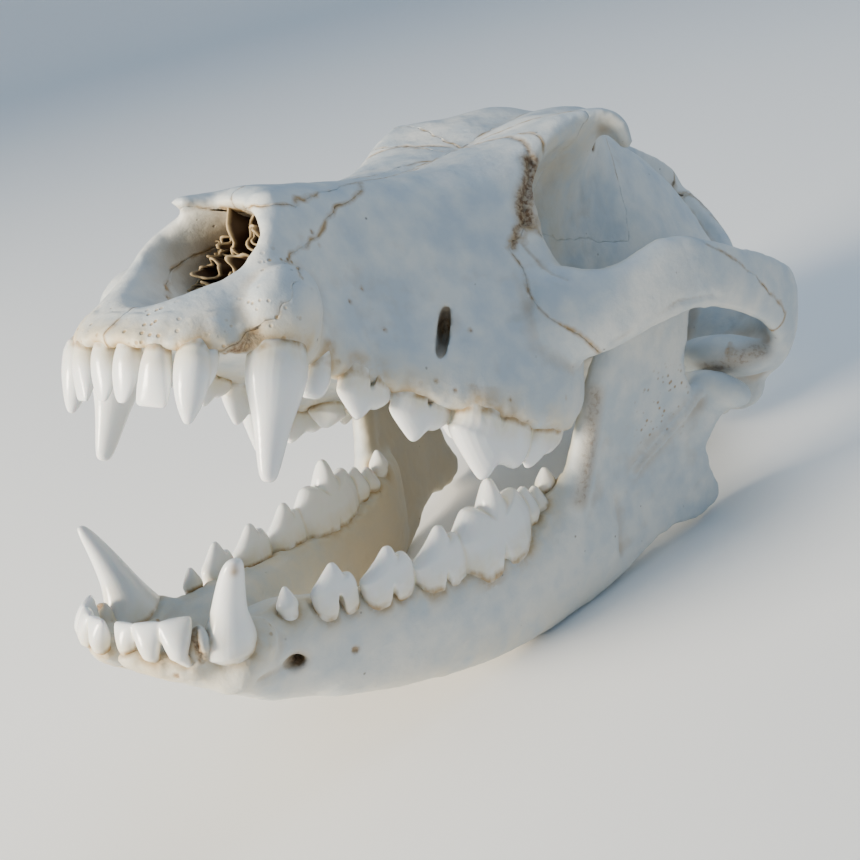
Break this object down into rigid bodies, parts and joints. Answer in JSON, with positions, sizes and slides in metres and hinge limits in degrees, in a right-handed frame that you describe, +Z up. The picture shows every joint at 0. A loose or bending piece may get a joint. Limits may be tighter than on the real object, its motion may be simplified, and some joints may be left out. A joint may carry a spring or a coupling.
{
  "type": "dog skull",
  "caption": "Dog skull with its jaw held open: long toothed muzzle, round eye hollows, arched cheekbones, crested braincase and a lower jaw that it rests on.",
  "frame": {"origin": "middle of the box round the skull, at the floor that the lower jaw rests on", "axes": "+Y runs from the front teeth back to the neck, +X to the animal's left, +Z up"},
  "size_m": [0.1222, 0.2276, 0.112],
  "materials": {
    "braincase": "dry bleached bone, satin on the teeth",
    "cheekbone_left": "dry bleached bone, satin on the teeth",
    "cheekbone_right": "dry bleached bone, satin on the teeth",
    "frontal_bone_left": "dry bleached bone, satin on the teeth",
    "frontal_bone_right": "dry bleached bone, satin on the teeth",
    "incisive_bone_left": "dry bleached bone, satin on the teeth",
    "incisive_bone_right": "dry bleached bone, satin on the teeth",
    "mandible_left": "dry bleached bone, satin on the teeth",
    "mandible_right": "dry bleached bone, satin on the teeth",
    "maxilla_left": "dry bleached bone, satin on the teeth",
    "maxilla_right": "dry bleached bone, satin on the teeth",
    "nasal_bone_left": "dry bleached bone, satin on the teeth",
    "nasal_bone_right": "dry bleached bone, satin on the teeth",
    "occipital_bone": "dry bleached bone, satin on the teeth"
  },
  "bodies": {
    "root": {"braincase": "braincase", "cheekbone_left": "cheekbone_left", "cheekbone_right": "cheekbone_right", "frontal_bone_left": "frontal_bone_left", "frontal_bone_right": "frontal_bone_right", "incisive_bone_left": "incisive_bone_left", "incisive_bone_right": "incisive_bone_right", "mandible_left": "mandible_left", "mandible_right": "mandible_right", "maxilla_left": "maxilla_left", "maxilla_right": "maxilla_right", "nasal_bone_left": "nasal_bone_left", "nasal_bone_right": "nasal_bone_right", "occipital_bone": "occipital_bone"}
  },
  "joints": []
}
